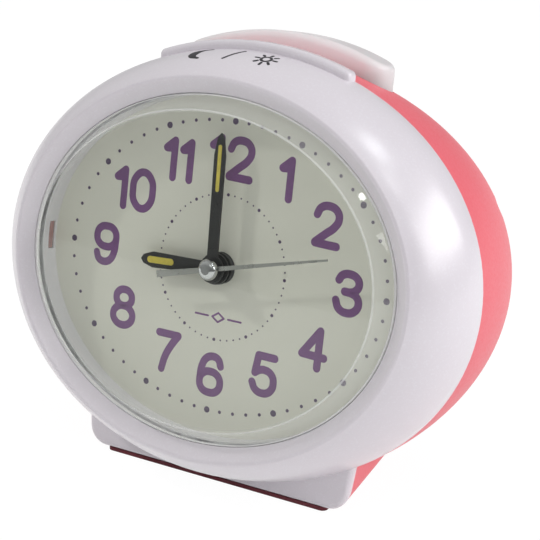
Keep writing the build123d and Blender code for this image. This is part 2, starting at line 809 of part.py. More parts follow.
with BuildPart() as rear_hollow:
    for w in between(SEAM_W, BACK_INSIDE, (0, 0.33, 0.67, 1)):
        with BuildSketch(face_at(w)):
            Ellipse(*rear_axes(w, WALL))
    loft()
    fillet(faces().sort_by(OUTWARD)[0].edges(), BACK_ROUND - WALL)
    add(foot_block(WALL))
    split(bisect_by=face_at(SEAM_W), keep=Keep.BOTTOM)
    split(bisect_by=face_at(BACK_INSIDE), keep=Keep.TOP)
    with BuildSketch(face_at(BACK_W + BACK_ROUND + 1)):
        with Locations((0, -SEAM_B)):
            Rectangle(2 * SEAM_A, SEAM_B / 2)
    extrude(amount=-60, mode=Mode.SUBTRACT)
    with Locations((0, 0, PAD_THICK + WALL)):
        Box(400, 400, 60, align=(Align.CENTER, Align.CENTER, Align.MAX), mode=Mode.SUBTRACT)

box_low = BOX_TOP - 2 * CELL_PITCH - 0.3
box_mid = (BOX_TOP + box_low) / 2
box_floor = CELL_W + CELL_R + 0.4
door_wide = 2 * (BOX_HALF + DOOR_LAP)
door_tall = BOX_TOP - box_low + 2 * DOOR_LAP
slide_spot = (BOARD_X - SLIDE_TRAVEL / 2, BOARD_V + 0.5)
board_posts = [
    (BOARD_X + BOARD_WIDE / 2 - 3, BOARD_V - BOARD_TALL / 2 + 3),
    (BOARD_X + BOARD_WIDE / 2 - 3, BOARD_V + BOARD_TALL / 2 - 3),
    (BOARD_X - BOARD_WIDE / 2 + 3, BOARD_V - BOARD_TALL / 2 + 3),
]
with BuildPart() as rear_fittings:
    with BuildSketch(face_at(BACK_W)):
        with Locations(*mirrored(POST_X, POST_V)):
            Circle(POST_R)
    extrude(amount=SEAM_W - BACK_W)
    with BuildSketch(face_at(BACK_W)):
        with Locations((0, box_mid)):
            Rectangle(2 * (BOX_HALF + BOX_WALL), BOX_TOP - box_low + 2 * BOX_WALL)
    extrude(amount=box_floor + BOX_WALL - BACK_W)
    with BuildSketch(face_at(BACK_W)):
        with Locations((0, SPEAKER_V)):
            Circle(SPEAKER_R + SLACK + 1.4)
            Circle(SPEAKER_R + SLACK, mode=Mode.SUBTRACT)
    extrude(amount=WALL + 3)
    with BuildSketch(face_at(BACK_W)):
        with Locations(*board_posts):
            Circle(2.3)
    extrude(amount=BOARD_W - BACK_W)
    with BuildSketch(plan_at(WELL_FLOOR - WELL_WALL)):
        with Locations((0, -(BUTTON_FRONT + BUTTON_BACK) / 2)):
            Rectangle(
                2 * (BUTTON_HALF + 2 + WELL_WALL),
                BUTTON_FRONT - BUTTON_BACK + 2 * (BUTTON_GAP + WELL_WALL),
            )
    extrude(amount=SEAM_B)
    add(rear_skin.part, mode=Mode.INTERSECT)

with BuildPart() as rear_case:
    add(rear_skin.part)
    add(rear_hollow.part, mode=Mode.SUBTRACT)
    add(rear_fittings.part)
    with BuildSketch(face_at(SEAM_W)):
        Ellipse(*front_axes(SEAM_W, WALL / 2))
        Ellipse(*front_axes(SEAM_W, WALL + 1.4), mode=Mode.SUBTRACT)
    extrude(amount=-1.0)
    with BuildSketch(face_at(SEAM_W)):
        Ellipse(*front_axes(SEAM_W, WALL + SLACK))
        Ellipse(*front_axes(SEAM_W, WALL + 1.4), mode=Mode.SUBTRACT)
    extrude(amount=TONGUE)
    with BuildSketch(face_at(SEAM_W)):
        with Locations(*mirrored(POST_X, POST_V)):
            Circle(SCREW_R + SLACK)
    extrude(amount=SCREW_SEAT - SEAM_W, mode=Mode.SUBTRACT)
    with BuildSketch(face_at(BOARD_W)):
        with Locations(*board_posts):
            Circle(1.0 + FIT)
    extrude(amount=-4.5, mode=Mode.SUBTRACT)
    with BuildSketch(face_at(SCREW_SEAT)):
        with Locations(*mirrored(POST_X, POST_V)):
            Circle(SCREW_HEAD + 0.5)
    extrude(amount=BACK_W - SCREW_SEAT, mode=Mode.SUBTRACT)
    with BuildSketch(face_at(BACK_W)):
        with Locations((0, box_mid)):
            Rectangle(2 * BOX_HALF, BOX_TOP - box_low)
    extrude(amount=box_floor - BACK_W, mode=Mode.SUBTRACT)
    with BuildSketch(face_at(BACK_W)):
        with Locations((0, box_mid)):
            RectangleRounded(door_wide + 2 * SLACK, door_tall + 2 * SLACK, DOOR_CORNER)
        with Locations((0, box_mid - door_tall / 4)):
            Rectangle(door_wide + 2 * SLACK, door_tall / 2 + 2 * SLACK)
    extrude(amount=DOOR_THICK + 0.1, mode=Mode.SUBTRACT)
    with BuildSketch(face_at(BACK_W + DOOR_THICK - 0.8)):
        with Locations((18, box_low - 0.5), (-18, box_low - 0.5)):
            Rectangle(9, 5)
    extrude(amount=3.0, mode=Mode.SUBTRACT)
    with BuildSketch(face_at(BACK_W)):
        with Locations((0, BOX_TOP + DOOR_LAP)):
            SlotOverall(14, 4)
    extrude(amount=1.2, mode=Mode.SUBTRACT)
    with BuildSketch(face_at(BACK_W)):
        with Locations(time_spot, alarm_spot):
            Circle(SHAFT_R + 0.3)
        with Locations((0, SPEAKER_V)):
            with HexLocations(GRILLE_PITCH / math.sqrt(3), 5, 5):
                Circle(GRILLE_R)
        with Locations((BOARD_X, slide_spot[1])):
            Rectangle(SLIDE_TRAVEL + 4.8, 4.6)
    extrude(amount=WALL, mode=Mode.SUBTRACT)
    with BuildSketch(plan_at(WELL_FLOOR)):
        with Locations((0, -(BUTTON_FRONT + BUTTON_BACK) / 2)):
            RectangleRounded(
                2 * (BUTTON_HALF + BUTTON_GAP),
                BUTTON_FRONT - BUTTON_BACK + 2 * BUTTON_GAP,
                BUTTON_CORNER + BUTTON_GAP,
            )
    extrude(amount=SEAM_B, mode=Mode.SUBTRACT)
    with BuildSketch(plan_at(WELL_FLOOR)):
        with Locations((0, -(BUTTON_FRONT + BUTTON_BACK) / 2)):
            Rectangle(2 * (BUTTON_HALF + 2), 8)
    extrude(amount=BUTTON_SKIRT + 1.9 - WELL_FLOOR, mode=Mode.SUBTRACT)
pieces["rear_case"] = rear_case.part

with BuildPart() as case_screws:
    with BuildSketch(face_at(SCREW_SEAT)):
        with Locations(*mirrored(POST_X, POST_V)):
            Circle(SCREW_R)
    extrude(amount=SCREW_TIP - SCREW_SEAT)
    with BuildSketch(face_at(SCREW_SEAT)):
        with Locations(*mirrored(POST_X, POST_V)):
            Circle(SCREW_HEAD)
    extrude(amount=-2.2)
    with BuildSketch(face_at(SCREW_SEAT - 2.2)):
        with Locations(*mirrored(POST_X, POST_V)):
            Rectangle(3, 0.7)
            Rectangle(0.7, 3)
    extrude(amount=1.2, mode=Mode.SUBTRACT)
pieces["case_screws"] = case_screws.part

# Top button with its springs, board and switch
button_mid = (BUTTON_FRONT + BUTTON_BACK) / 2
button_deep = BUTTON_FRONT - BUTTON_BACK
plunger_top = WELL_FLOOR + 6.4
with BuildPart() as snooze_button:
    with BuildSketch(plan_at(BUTTON_SKIRT)):
        with Locations((0, -button_mid)):
            RectangleRounded(2 * BUTTON_HALF, button_deep, BUTTON_CORNER)
    extrude(amount=SEAM_B)
    with BuildSketch(face_at(BUTTON_FRONT + 1)):
        Ellipse(BUTTON_CROWN, SEAM_B + BUTTON_RISE)
    extrude(amount=-button_deep - 2, mode=Mode.INTERSECT)
    top_edges = faces().sort_by(Axis(FACE.origin, FACE.y_dir))[-1].edges()
    fillet(top_edges, BUTTON_EDGE)
    with BuildSketch(plan_at(BUTTON_SKIRT)):
        with Locations((0, -button_mid)):
            RectangleRounded(2 * BUTTON_HALF - 4, button_deep - 4, BUTTON_CORNER - 2)
    extrude(amount=BUTTON_HOLLOW, mode=Mode.SUBTRACT)
    with BuildSketch(plan_at(plunger_top)):
        with Locations((0, -button_mid)):
            Circle(STEM_R)
    extrude(amount=BUTTON_SKIRT + BUTTON_HOLLOW + 1 - plunger_top)
    with BuildSketch(plan_at(BUTTON_SKIRT)):
        with Locations((BUTTON_HALF, -button_mid), (-BUTTON_HALF, -button_mid)):
            Rectangle(2.4, 6)
    extrude(amount=1.5)
pieces["snooze_button"] = snooze_button.part

with BuildPart() as snooze_springs:
    for x in (BUTTON_SPRING_X, -BUTTON_SPRING_X):
        foot = FACE.from_local_coords((x, WELL_FLOOR + 0.35, button_mid))
        seat = Plane(origin=foot, x_dir=(1, 0, 0), z_dir=FACE.y_dir)
        add(coil_spring(seat, 2.4, 0.3, BUTTON_SKIRT + BUTTON_HOLLOW - WELL_FLOOR - 0.7, 6))
pieces["snooze_springs"] = snooze_springs.part

with BuildPart() as snooze_board:
    with BuildSketch(plan_at(WELL_FLOOR)):
        with Locations((0, -button_mid)):
            Rectangle(20, 10)
    extrude(amount=1.2)
pieces["snooze_board"] = snooze_board.part

with BuildPart() as snooze_switch:
    with BuildSketch(plan_at(WELL_FLOOR + 1.2)):
        with Locations((0, -button_mid)):
            RectangleRounded(6, 6, 0.4)
            Circle(1.7 + RUN, mode=Mode.SUBTRACT)
    extrude(amount=3.4)
pieces["snooze_switch"] = snooze_switch.part

with BuildPart() as snooze_plunger:
    with BuildSketch(plan_at(plunger_top - 3.4)):
        with Locations((0, -button_mid)):
            Circle(1.7)
    extrude(amount=3.4)
pieces["snooze_plunger"] = snooze_plunger.part


# Setting knobs with fluted rims
def knob(spot):
    low = BACK_W - KNOB_TALL - 0.5
    with BuildPart() as grip:
        with BuildSketch(face_at(low)):
            with Locations(spot):
                Circle(KNOB_R)
                with PolarLocations(KNOB_R + 0.25, 18):
                    Circle(0.6, mode=Mode.SUBTRACT)
        extrude(amount=KNOB_TALL)
        with BuildSketch(face_at(low)):
            with Locations(spot):
                Circle(KNOB_R - 1.4)
        extrude(amount=-0.6)
        with BuildSketch(face_at(BACK_W - KNOB_TALL + 0.6)):
            with Locations(spot):
                Circle(SHAFT_R + FIT)
        extrude(amount=KNOB_TALL, mode=Mode.SUBTRACT)
    return grip.part


pieces["time_knob"] = knob(time_spot)
pieces["alarm_knob"] = knob(alarm_spot)

# Sound board, its parts and the alarm switch
with BuildPart() as sound_board:
    with BuildSketch(face_at(BOARD_W)):
        with Locations((BOARD_X, BOARD_V)):
            Rectangle(BOARD_WIDE, BOARD_TALL)
        with Locations(*board_posts):
            Circle(1.1, mode=Mode.SUBTRACT)
    extrude(amount=BOARD_THICK)
pieces["sound_board"] = sound_board.part

with BuildPart() as board_screws:
    head_low = BOARD_W + BOARD_THICK
    for radius, low, high in ((1.0, BOARD_W - 4, head_low), (2.0, head_low, BOARD_W + 3.0)):
        with BuildSketch(face_at(low)):
            with Locations(*board_posts):
                Circle(radius)
        extrude(amount=high - low)
pieces["board_screws"] = board_screws.part

board_top = BOARD_W + BOARD_THICK
with BuildPart() as voice_chip:
    with BuildSketch(face_at(board_top)):
        with Locations((BOARD_X - 3, BOARD_V + 2)):
            Circle(4.5)
    extrude(amount=1.6)
    fillet(edges().sort_by(OUTWARD)[-1], 1.3)
pieces["voice_chip"] = voice_chip.part

with BuildPart() as capacitors:
    with BuildSketch(face_at(board_top)):
        with Locations((BOARD_X + 5, BOARD_V), (BOARD_X + 1, BOARD_V - 6)):
            Circle(2.4)
    extrude(amount=6)
pieces["capacitors"] = capacitors.part

with BuildPart() as alarm_switch:
    with BuildSketch(face_at(BOARD_W)):
        with Locations((BOARD_X, slide_spot[1])):
            Rectangle(10, 5)
    extrude(amount=-3.8)
pieces["alarm_switch"] = alarm_switch.part

with BuildPart() as alarm_slider:
    with BuildSketch(face_at(BOARD_W - 3.9)):
        with Locations(slide_spot):
            Rectangle(4, 4)
    extrude(amount=BACK_W - 1.6 - BOARD_W + 3.9)
    with BuildSketch(face_at(BACK_W - 1.6)):
        with Locations((slide_spot[0] - 1, slide_spot[1]), (slide_spot[0] + 1, slide_spot[1])):
            Rectangle(0.6, 5)
    extrude(amount=0.6, mode=Mode.SUBTRACT)
pieces["alarm_slider"] = alarm_slider.part

# Speaker behind the grille
speaker_face = BACK_INSIDE + 0.05
with BuildPart() as speaker_frame:
    with BuildSketch(face_at(speaker_face)):
        with Locations((0, SPEAKER_V)):
            Circle(SPEAKER_R)
    extrude(amount=1.2)
    with BuildSketch(face_at(speaker_face + 1.2)):
        with Locations((0, SPEAKER_V)):
            Circle(SPEAKER_R - 1)
    with BuildSketch(face_at(speaker_face + SPEAKER_DEEP - 3.5)):
        with Locations((0, SPEAKER_V)):
            Circle(SPEAKER_R * 0.6)
    loft()
    with BuildSketch(face_at(speaker_face)):
        with Locations((0, SPEAKER_V)):
            Circle(SPEAKER_R - 1.6)
    with BuildSketch(face_at(speaker_face + SPEAKER_DEEP - 4.5)):
        with Locations((0, SPEAKER_V)):
            Circle(SPEAKER_R * 0.52)
    loft(mode=Mode.SUBTRACT)
pieces["speaker_frame"] = speaker_frame.part

with BuildPart() as speaker_magnet:
    with BuildSketch(face_at(speaker_face + SPEAKER_DEEP - 3.5)):
        with Locations((0, SPEAKER_V)):
            Circle(SPEAKER_R * 0.55)
    extrude(amount=3.5)
pieces["speaker_magnet"] = speaker_magnet.part

cone_axis = Axis(FACE.from_local_coords((0, SPEAKER_V, 0)), FACE.z_dir)
with BuildPart() as speaker_cone:
    cone_spot = FACE.from_local_coords((0, SPEAKER_V, speaker_face))
    with BuildSketch(Plane(origin=cone_spot, x_dir=(1, 0, 0), z_dir=FACE.y_dir)):
        with BuildLine():
            Polyline(
                (0, -1.0),
                (3.2, -2.4),
                (4.0, -3.2),
                (SPEAKER_R - 2.9, -0.7),
                (SPEAKER_R - 2.9, -0.3),
                (4.0, -2.7),
                (3.2, -1.9),
                (0, -0.5),
                close=True,
            )
        make_face()
    revolve(axis=cone_axis)
pieces["speaker_cone"] = speaker_cone.part

# Batteries, contacts and door
cell_rows = [BOX_TOP - 0.15 - CELL_PITCH / 2, BOX_TOP - 0.15 - 1.5 * CELL_PITCH]
cell_end = BOX_HALF - 7.0
with BuildPart() as battery_cells:
    for row, sign in zip(cell_rows, (1, -1)):
        with BuildSketch(side_at(sign * cell_end)):
            with Locations((row, CELL_W)):
                Circle(CELL_R)
        extrude(amount=-sign * CELL_LONG)
        with BuildSketch(side_at(sign * (cell_end - CELL_LONG))):
            with Locations((row, CELL_W)):
                Circle(NUB_R)
        extrude(amount=-sign * NUB_LONG)
    fillet(edges().filter_by(GeomType.CIRCLE).filter_by(lambda e: e.radius > NUB_R + 0.1), 0.6)
pieces["battery_cells"] = battery_cells.part

with BuildPart() as battery_terminals:
    for row, sign in zip(cell_rows, (1, -1)):
        for side, thick in ((sign, 0.5), (-sign, 0.5)):
            with BuildSketch(side_at(side * (BOX_HALF - 0.05))):
                with Locations((row, CELL_W)):
                    Rectangle(10, 10)
            extrude(amount=-side * thick)
pieces["battery_terminals"] = battery_terminals.part

with BuildPart() as battery_springs:
    for row, sign in zip(cell_rows, (1, -1)):
        foot = FACE.from_local_coords((sign * (cell_end + 0.5), row, CELL_W))
        seat = Plane(origin=foot, x_dir=FACE.y_dir, z_dir=(sign, 0, 0))
        add(coil_spring(seat, 3.6, 0.45, BOX_HALF - 0.55 - cell_end - 1.0, 2.5))
pieces["battery_springs"] = battery_springs.part

with BuildPart() as battery_door:
    with BuildSketch(face_at(BACK_W)):
        with Locations((0, box_mid)):
            RectangleRounded(door_wide, door_tall, DOOR_CORNER)
        with Locations((0, box_mid - door_tall / 4)):
            RectangleRounded(door_wide, door_tall / 2, DOOR_HEEL)
    extrude(amount=DOOR_THICK)
    fillet(faces().filter_by(Axis(FACE.origin, FACE.z_dir)).edges(), DOOR_EDGE)
    with BuildSketch(face_at(BACK_W + DOOR_THICK - 0.6)):
        with Locations((18, box_low - DOOR_LAP + 0.2), (-18, box_low - DOOR_LAP + 0.2)):
            Rectangle(8, 2.8)
    extrude(amount=1.5)
    with BuildSketch(face_at(BACK_W)):
        with GridLocations(0, 1.6, 1, 4):
            with Locations((0, BOX_TOP - 5)):
                Rectangle(16, 0.7)
    extrude(amount=0.5, mode=Mode.SUBTRACT)
pieces["battery_door"] = battery_door.part

for name, piece in pieces.items():
    piece.label = name
    export_step(piece, f"parts/{name}.step")
print("pieces", len(pieces))
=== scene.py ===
import json
import math

import bmesh
import bpy
from mathutils import Matrix, Vector
from mathutils.bvhtree import BVHTree


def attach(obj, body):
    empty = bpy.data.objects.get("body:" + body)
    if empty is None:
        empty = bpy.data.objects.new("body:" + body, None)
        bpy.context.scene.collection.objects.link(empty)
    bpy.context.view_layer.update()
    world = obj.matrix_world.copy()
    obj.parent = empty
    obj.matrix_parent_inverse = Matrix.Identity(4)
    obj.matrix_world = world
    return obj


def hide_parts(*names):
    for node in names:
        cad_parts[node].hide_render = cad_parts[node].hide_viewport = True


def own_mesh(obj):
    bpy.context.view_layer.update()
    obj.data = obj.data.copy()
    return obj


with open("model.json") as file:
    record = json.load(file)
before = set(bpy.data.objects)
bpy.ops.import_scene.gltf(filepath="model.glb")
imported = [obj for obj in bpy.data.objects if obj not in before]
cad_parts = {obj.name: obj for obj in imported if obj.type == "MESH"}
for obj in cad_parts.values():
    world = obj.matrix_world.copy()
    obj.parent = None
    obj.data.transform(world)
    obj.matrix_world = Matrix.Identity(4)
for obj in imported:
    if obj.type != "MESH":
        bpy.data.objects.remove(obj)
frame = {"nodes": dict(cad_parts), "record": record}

scene = bpy.context.scene
cadNodes = frame["nodes"]
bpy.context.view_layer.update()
slotOf = {sub["node"]: sub["material_slot"] for sub in frame["record"]["subparts"]}
print("talking clock: frame loaded,", len(cadNodes), "nodes")

# the dial leans back; pieces are drawn flat on it in mm (right, up, out) and then put in place
stance = {"lean": math.radians(11.7), "dialCentre": (0.0, -0.0128, 0.0553), "mm": 0.001}
leanSin, leanCos = math.sin(stance["lean"]), math.cos(stance["lean"])
dialUp, dialOut = (0, leanSin, leanCos), (0, -leanCos, leanSin)
dialFrame = Matrix((
    (1, dialUp[0], dialOut[0], stance["dialCentre"][0]),
    (0, dialUp[1], dialOut[1], stance["dialCentre"][1]),
    (0, dialUp[2], dialOut[2], stance["dialCentre"][2]),
    (0, 0, 0, 1),
)) @ Matrix.Scale(stance["mm"], 4)


# colours and shader nodes
def tint(red, green, blue):
    # a screen colour from 0 to 255 as the linear values that shaders take
    return tuple((c / 255 / 12.92) if c < 11 else ((c / 255 + 0.055) / 1.055) ** 2.4 for c in (red, green, blue))


def shaded(colour, factor):
    return tuple(min(1, c * factor) for c in colour)


def greys(stops):
    return [(place, (share,) * 3) for place, share in stops]


def connect(tree, socket, value):
    if isinstance(value, bpy.types.NodeSocket):
        tree.links.new(value, socket)
    else:
        socket.default_value = value


def feed(tree, node, **values):
    for key, value in values.items():  # a name the node itself has, or else one of its sockets
        if hasattr(node, key):
            setattr(node, key, value)
        else:
            connect(tree, node.inputs[key.replace("_", " ")], value)
    return node


def addNode(tree, kind, **values):
    return feed(tree, tree.nodes.new(kind), **values)


def worked(tree, operation, *values, kind="Math", result="Value"):
    step = addNode(tree, "ShaderNode" + kind, operation=operation)
    for socket, value in zip(step.inputs, values):
        connect(tree, socket, value)
    return step.outputs[result]


def along(tree, vector, direction):
    return worked(tree, "DOT_PRODUCT", vector, direction, kind="VectorMath")


def added(tree, values):
    total, *others = values
    for value in others:
        total = worked(tree, "ADD", total, value)
    return total


def mixed(tree, share, first, second):
    mix = addNode(tree, "ShaderNodeMixShader")
    for socket, value in zip(mix.inputs, (share, first, second)):
        tree.links.new(value, socket)
    return mix.outputs["Shader"]


def startFinish(name, **sockets):
    finish = bpy.data.materials.new(name)
    finish.use_nodes = True
    tree = finish.node_tree
    shader = feed(tree, tree.nodes["Principled BSDF"], **sockets)
    return finish, tree, shader, addNode(tree, "ShaderNodeTexCoord").outputs["Object"]


def stretched(tree, coords, stretch, turn=(0, 0, 0)):
    return addNode(tree, "ShaderNodeMapping", Vector=coords, Scale=stretch, Rotation=turn).outputs["Vector"]


def ramped(tree, value, stops):
    ramp = addNode(tree, "ShaderNodeValToRGB", Fac=value)
    marks = ramp.color_ramp.elements
    while len(marks) < len(stops):
        marks.new(0.5)
    for mark, (place, colour) in zip(marks, stops):
        mark.position = place
        mark.color = (*colour, 1)
    return ramp.outputs["Color"]


def cloudy(tree, vector, scale, detail=3.0):
    return addNode(tree, "ShaderNodeTexNoise", Vector=vector, Scale=scale, Detail=detail).outputs["Fac"]


def spread(tree, value, low, high):
    # most of a noise lies between 0.3 and 0.7
    mapped = addNode(tree, "ShaderNodeMapRange", Value=value, From_Min=0.3, From_Max=0.7, To_Min=low, To_Max=high)
    return mapped.outputs["Result"]


def roughened(tree, value, rough, sway):
    return spread(tree, value, rough * (1 - sway), min(1, rough * (1 + sway)))


def bumped(tree, value, depth, strength=0.5):
    return addNode(tree, "ShaderNodeBump", Height=value, Strength=strength, Distance=depth).outputs["Normal"]


# finishes
def moulded(name, colour, rough, swing=0.05, cloud=60, grain=1800, depth=0.00003, **sockets):
    finish, tree, shader, coords = startFinish(name, **sockets)
    stops = ((0.35, shaded(colour, 1 - swing)), (0.65, shaded(colour, 1 + swing / 2)))
    fine = cloudy(tree, coords, grain, 2)
    feed(
        tree, shader, Base_Color=ramped(tree, cloudy(tree, coords, cloud), stops),
        Roughness=roughened(tree, fine, rough, 0.15), Normal=bumped(tree, fine, depth),
    )
    return finish


def pearlPaint(name, colour, flake, rough, **sockets):
    finish, tree, shader, coords = startFinish(name, **sockets)
    cells = addNode(tree, "ShaderNodeTexVoronoi", Vector=coords, Scale=2600)  # flakes about 0.4 mm apart
    pick = addNode(tree, "ShaderNodeSeparateColor", Color=cells.outputs["Color"]).outputs["Red"]
    feed(
        tree, shader, Base_Color=ramped(tree, pick, ((0.0, colour), (0.72, colour), (1.0, flake))),
        Roughness=roughened(tree, cloudy(tree, coords, 45), rough, 0.1),
        Normal=bumped(tree, cloudy(tree, coords, 900, 2), 0.00001, 0.25),
    )
    return finish


def clearLens(name, pane, mirror, steepness, veil, flange):
    # a clear moulding: see-through where it faces the eye, mirroring the room towards its edges, milky at its rim
    finish, tree, shader, coords = startFinish(name, Base_Color=(*pane, 1), Metallic=1.0)
    scuffs = cloudy(tree, stretched(tree, coords, (1, 1, 6)), 240, 6)
    feed(tree, shader, Roughness=spread(tree, scuffs, 0.01, 0.06))
    surface = addNode(tree, "ShaderNodeNewGeometry").outputs

    edgeOn = addNode(tree, "ShaderNodeLayerWeight", Blend=0.5).outputs["Facing"]
    gloss = worked(tree, "MULTIPLY_ADD", worked(tree, "POWER", edgeOn, steepness), 1 - mirror, mirror)
    outside = worked(tree, "SUBTRACT", 1.0, surface["Backfacing"])  # only the outer skin mirrors
    through = addNode(tree, "ShaderNodeBsdfTransparent", Color=(*pane, 1))
    skin = worked(tree, "MULTIPLY", gloss, outside)
    clear = mixed(tree, skin, through.outputs["BSDF"], shader.outputs["BSDF"])

    flatness = worked(tree, "ABSOLUTE", along(tree, surface["Normal"], dialOut))  # 1 on the pane, 0 on the walls
    spot = worked(tree, "SUBTRACT", coords, stance["dialCentre"], kind="VectorMath", result="Vector")
    across = along(tree, spot, (1 / flange["across"] / stance["mm"], 0, 0))
    upwards = along(tree, spot, [c / flange["up"] / stance["mm"] for c in dialUp])
    oval = addNode(tree, "ShaderNodeCombineXYZ", X=across, Y=upwards).outputs["Vector"]
    reach = worked(tree, "LENGTH", oval, kind="VectorMath")
    milk = worked(  # a milky flange behind the bezel hides the dark gap under it
        tree, "MAXIMUM", ramped(tree, flatness, greys(veil)), ramped(tree, reach, greys(flange["veil"]))
    )
    milky = addNode(tree, "ShaderNodeBsdfDiffuse", Color=(*pane, 1))
    whole = mixed(tree, milk, clear, milky.outputs["BSDF"])
    tree.links.new(whole, tree.nodes["Material Output"].inputs["Surface"])
    return finish


def drawnMetal(name, colour, rough, lines=(1, 1, 1), scale=900, swing=0.12, depth=0.000008):
    finish, tree, shader, coords = startFinish(name, Metallic=1.0)
    streaks = cloudy(tree, stretched(tree, coords, lines), scale, 5)
    feed(
        tree, shader, Base_Color=ramped(tree, streaks, ((0.3, shaded(colour, 1 - swing)), (0.7, colour))),
        Roughness=roughened(tree, streaks, rough, 0.3), Normal=bumped(tree, streaks, depth, 0.3),
    )
    return finish


def banded(name, colour, second, scale, rough, metal=0.0, depth=0.00008, form="BANDS"):
    finish, tree, shader, coords = startFinish(name, Metallic=metal)
    wave = addNode(
        tree, "ShaderNodeTexWave", Vector=coords, Scale=scale, Distortion=0.4, Detail=2.0, wave_type=form
    ).outputs["Fac"]
    feed(
        tree, shader, Base_Color=ramped(tree, wave, ((0.1, second), (0.7, colour))),
        Roughness=roughened(tree, cloudy(tree, coords, 700), rough, 0.2), Normal=bumped(tree, wave, depth, 0.6),
    )
    return finish


def solderMask(name, colour, track, rough):
    finish, tree, shader, coords = startFinish(name, Coat_Weight=0.3, Coat_Roughness=0.15)
    upright = stretched(tree, coords, (1, 1, 1), (math.pi / 2, 0, 0))
    tracks = addNode(
        tree, "ShaderNodeTexBrick", Vector=upright, Scale=420, Mortar_Size=0.035,
        Color1=(*colour, 1), Color2=(*shaded(colour, 0.85), 1), Mortar=(*track, 1),
    ).outputs
    feed(
        tree, shader, Base_Color=tracks["Color"],
        Roughness=roughened(tree, cloudy(tree, coords, 600), rough, 0.2),
        Normal=bumped(tree, tracks["Fac"], 0.00003),
    )
    return finish


finishes = {
    "pearl_white": pearlPaint(
        "pearlWhite", tint(226, 220, 227), tint(229, 224, 231), 0.42,
        Coat_Weight=1.0, Coat_IOR=1.7, Coat_Roughness=0.26,
    ),
    "coral_pink": moulded(
        "coralPink", tint(238, 110, 121), 0.42, swing=0.03, cloud=25, grain=1500, depth=0.00001,
        Specular_IOR_Level=0.35,
    ),
    "clear_lens": clearLens(
        "clearLens", tint(252, 253, 252), mirror=0.05, steepness=5.0,
        veil=((0, 0.7), (0.45, 0.7), (0.6, 0.1), (0.73, 0.1), (0.82, 0.4), (0.95, 0.4), (1, 0)),
        flange={"across": 53.2, "up": 43.565, "veil": ((0, 0), (0.9585, 0), (0.9602, 0.9), (1, 0.9))},
    ),
    "ring_white": moulded("ringWhite", tint(226, 224, 228), 0.35, swing=0.03),
    "dial_green": moulded(
        "dialGlowPaint", tint(229, 228, 216), 0.62, swing=0.025, cloud=22, grain=2600, depth=0.000012
    ),
    "hand_black": moulded("handBlack", tint(22, 23, 22), 0.32, swing=0.25, cloud=420, grain=1400, depth=0.00002),
    "lume_yellow": moulded(
        "handGlowPaint", tint(216, 199, 82), 0.6, swing=0.12, cloud=500, grain=2400, depth=0.00005
    ),
    "second_silver": drawnMetal("secondSilver", tint(172, 173, 168), 0.3, scale=300, swing=0.04, depth=0.000001),
    "cap_chrome": drawnMetal("capChrome", tint(205, 206, 207), 0.06, scale=300, swing=0.04, depth=0.000002),
    # the strip under the foot is a real part, but its dark maroon is painted shade: the deep shadow under the clock is
    # painted into its colour
    "pad_maroon": moulded("footStripPaintedShade", tint(112, 44, 54), 0.75, swing=0.12, cloud=200, grain=1500, depth=0.00008),
    "lamp_red": moulded("lampRed", tint(168, 126, 124), 0.25, swing=0.15, cloud=300, Coat_Weight=0.4),
    "movement_grey": moulded("movementGrey", tint(66, 67, 70), 0.5, swing=0.08, cloud=90),
    "wheel_white": moulded("wheelNylon", tint(226, 223, 212), 0.45, swing=0.04, cloud=160),
    "arbor_brass": drawnMetal("arborBrass", tint(206, 168, 92), 0.25, lines=(30, 1, 1), scale=120),
    "sheet_steel": drawnMetal("sheetSteel", tint(186, 188, 190), 0.3, lines=(1, 30, 30), scale=90),
    "magnet_dark": drawnMetal("magnetFerrite", tint(74, 74, 78), 0.45, scale=1500, swing=0.25),
    "coil_copper": banded("coilCopper", tint(196, 112, 62), tint(110, 52, 26), 2600, 0.3, metal=0.85),
    "board_green": solderMask("boardGreen", tint(38, 104, 62), tint(96, 150, 84), 0.35),
    "chip_black": moulded("chipResin", tint(30, 30, 32), 0.55, swing=0.12, cloud=700),
    "cap_sleeve": moulded("capSleeve", tint(42, 50, 104), 0.3, swing=0.06, cloud=200),
    "speaker_black": moulded("speakerBlack", tint(36, 36, 38), 0.45, swing=0.1, cloud=250),
    "cone_grey": banded("coneGrey", tint(86, 86, 86), tint(60, 60, 60), 500, 0.8, form="RINGS"),
    "cell_wrap": banded("cellWrap", tint(92, 128, 116), tint(70, 104, 94), 26, 0.35, metal=0.3, depth=0.0),
    "knob_white": moulded("knobWhite", tint(228, 224, 228), 0.42, swing=0.03, cloud=120),
    "press_bar": moulded(
        "pressBarPink", tint(238, 230, 233), 0.36, swing=0.02, cloud=40, grain=1500, depth=0.00001,
        Coat_Weight=0.5, Coat_Roughness=0.16,
        Subsurface_Weight=0.8, Subsurface_Radius=(0.8, 0.7, 0.72), Subsurface_Scale=0.016,
    ),
    "numeral_purple": moulded(
        "numeralInk", tint(121, 77, 132), 0.55, swing=0.06, cloud=260, grain=2200, depth=0.00002
    ),
    "track_ink": moulded("trackInk", tint(88, 70, 100), 0.55, swing=0.08, cloud=260, grain=2200),
    "print_black": moulded("printBlack", tint(38, 36, 42), 0.5, swing=0.1, cloud=260, grain=2200),
}
print("talking clock: finishes,", len(finishes))


# pieces
def placedMesh(name, shape, place):
    mesh = bpy.data.meshes.new(name)
    bmesh.ops.transform(shape, matrix=place, verts=shape.verts)
    shape.to_mesh(mesh)
    shape.free()
    return mesh


def linkPiece(name, mesh, body, slot, finish=None):
    piece = bpy.data.objects.new(name, mesh)
    scene.collection.objects.link(piece)
    mesh.materials.clear()
    mesh.materials.append(finishes[finish or slot])
    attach(piece, body)
    return piece


ownFinish = {"snooze_button": "press_bar"}  # the rest wear their slot's finish
for node, piece in cadNodes.items():
    piece.data.materials.clear()
    piece.data.materials.append(finishes[ownFinish.get(node, slotOf[node])])
